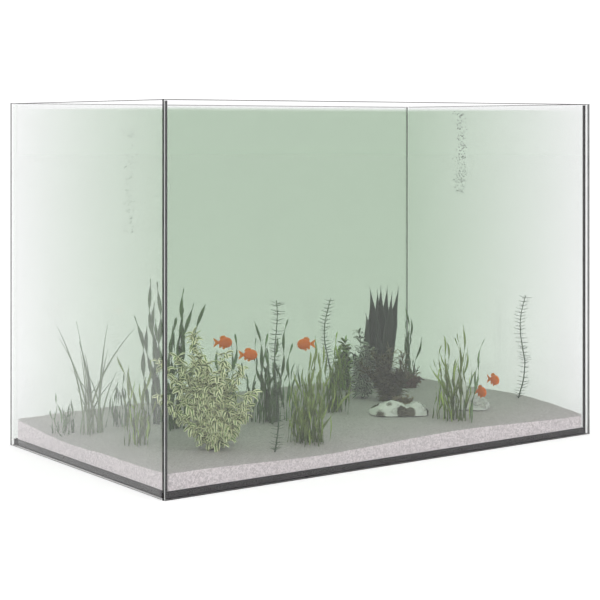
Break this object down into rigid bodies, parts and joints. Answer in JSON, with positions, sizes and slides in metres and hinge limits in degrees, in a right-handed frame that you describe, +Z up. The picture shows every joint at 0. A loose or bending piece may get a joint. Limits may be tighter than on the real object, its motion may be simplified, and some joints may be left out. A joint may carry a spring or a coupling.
{
  "type": "glass aquarium tank",
  "caption": "Rimless open-top glass tank with black silicone seams, set up with a rolling sand bed, stones, water plants and small orange fish.",
  "frame": {"origin": "on the floor under the middle of the tank", "axes": "+X along the front pane to the right, +Y from the front pane to the rear pane, +Z up"},
  "size_m": [0.6, 0.35, 0.4],
  "materials": {
    "glass": "clear float glass with polished edges",
    "silicone": "black aquarium silicone, satin",
    "clear_silicone": "clear aquarium silicone, satin",
    "sand": "fine pale pinkish grey sand",
    "spotted_stone": "white weathered stone with grey brown patches",
    "white_stone": "pale grey white weathered stone",
    "dark_leaf": "dark green water plant leaves",
    "fresh_leaf": "fresh green water plant leaves",
    "grass_leaf": "greyish green grass blades",
    "variegated_leaf": "green leaves edged with pale yellow",
    "reed_leaf": "very dark grey green reed leaves",
    "brown_weed": "brownish green feathery weed",
    "red_leaf": "dark reddish brown leaves",
    "moss": "dry yellowish brown moss",
    "fish": "orange scales and fins"
  },
  "bodies": {
    "tank": {"base_pane": "glass", "base_seam_front": "silicone", "base_seam_left": "silicone", "base_seam_rear": "silicone", "base_seam_right": "silicone", "corner_seam_front_left": "silicone", "corner_seam_front_right": "silicone", "corner_seam_rear_left": "clear_silicone", "corner_seam_rear_right": "clear_silicone", "curved_grass": "grass_leaf", "dark_broadleaf": "dark_leaf", "dark_conifer_weed": "dark_leaf", "dark_reeds": "reed_leaf", "dry_moss_tuft": "moss", "feather_weed": "brown_weed", "front_pane": "glass", "left_pane": "glass", "rear_pane": "glass", "red_weed": "red_leaf", "right_pane": "glass", "sand_bed": "sand", "spotted_stone": "spotted_stone", "stem_weed_centre": "dark_leaf", "stem_weed_front": "dark_leaf", "stem_weed_right": "dark_leaf", "tape_grass_behind_bush": "dark_leaf", "tape_grass_by_stone": "fresh_leaf", "tape_grass_centre": "fresh_leaf", "tape_grass_front": "fresh_leaf", "tape_grass_low_left": "dark_leaf", "tape_grass_low_middle": "dark_leaf", "tape_grass_middle": "dark_leaf", "tape_grass_near_left": "dark_leaf", "tape_grass_rear_right": "dark_leaf", "tape_grass_right": "fresh_leaf", "tape_grass_tall_left": "dark_leaf", "tape_grass_tall_middle": "dark_leaf", "variegated_bush": "variegated_leaf", "white_stone": "white_stone"},
    "fish_1": {"fish_1": "fish"},
    "fish_2": {"fish_2": "fish"},
    "fish_3": {"fish_3": "fish"},
    "fish_4": {"fish_4": "fish"},
    "fish_5": {"fish_5": "fish"}
  },
  "joints": [
    {"name": "fish_1_swim", "type": "slide", "parent": "tank", "child": "fish_1", "axis": [0.866, -0.5, 0], "range_m": [-0.025, 0.04]},
    {"name": "fish_2_swim", "type": "slide", "parent": "tank", "child": "fish_2", "axis": [0.866, -0.5, 0], "range_m": [-0.02, 0.035]},
    {"name": "fish_3_swim", "type": "slide", "parent": "tank", "child": "fish_3", "axis": [-0.9397, 0.342, 0], "range_m": [-0.03, 0.04]},
    {"name": "fish_4_swim", "type": "slide", "parent": "tank", "child": "fish_4", "axis": [0, -1, 0], "range_m": [-0.02, 0.02]},
    {"name": "fish_5_swim", "type": "slide", "parent": "tank", "child": "fish_5", "axis": [0, -1, 0], "range_m": [-0.015, 0.02]}
  ]
}
